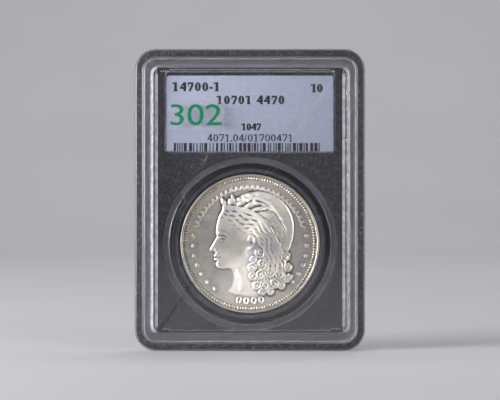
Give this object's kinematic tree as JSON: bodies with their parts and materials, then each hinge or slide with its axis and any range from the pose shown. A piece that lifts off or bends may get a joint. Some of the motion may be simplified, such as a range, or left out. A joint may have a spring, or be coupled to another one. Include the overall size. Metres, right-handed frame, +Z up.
{
  "type": "graded coin slab",
  "caption": "Sealed clear two-shell coin holder with stepped stacking rim, dark core, gasket, coin, printed labels, foil seal and film sticker.",
  "frame": {"origin": "middle of the bottom edge, half-way through the thickness", "axes": "+Z up the slab from the coin towards the label, front of the slab towards -Y, X along its width with +X on the viewer's right"},
  "size_m": [0.063, 0.008, 0.0825],
  "materials": {
    "front_shell": "clear moulded polystyrene, polished, with a frosted outer rim",
    "back_shell": "clear moulded polystyrene, polished, with a frosted outer rim",
    "weld_bead": "remelted clear polystyrene, slightly cloudy",
    "core_insert": "fine matt, charcoal",
    "gasket_ring": "satin, black",
    "coin": "struck silver with mint lustre, lightly toned at the rim",
    "front_label": "smooth printed card, pale grey blue",
    "back_label": "smooth printed card, pale grey blue",
    "security_foil": "embossed metallised film",
    "inventory_sticker": "clear printed film"
  },
  "bodies": {
    "root": {"front_shell": "front_shell", "back_shell": "back_shell", "weld_bead": "weld_bead", "core_insert": "core_insert", "gasket_ring": "gasket_ring", "coin": "coin", "front_label": "front_label", "back_label": "back_label", "security_foil": "security_foil", "inventory_sticker": "inventory_sticker"}
  },
  "joints": []
}
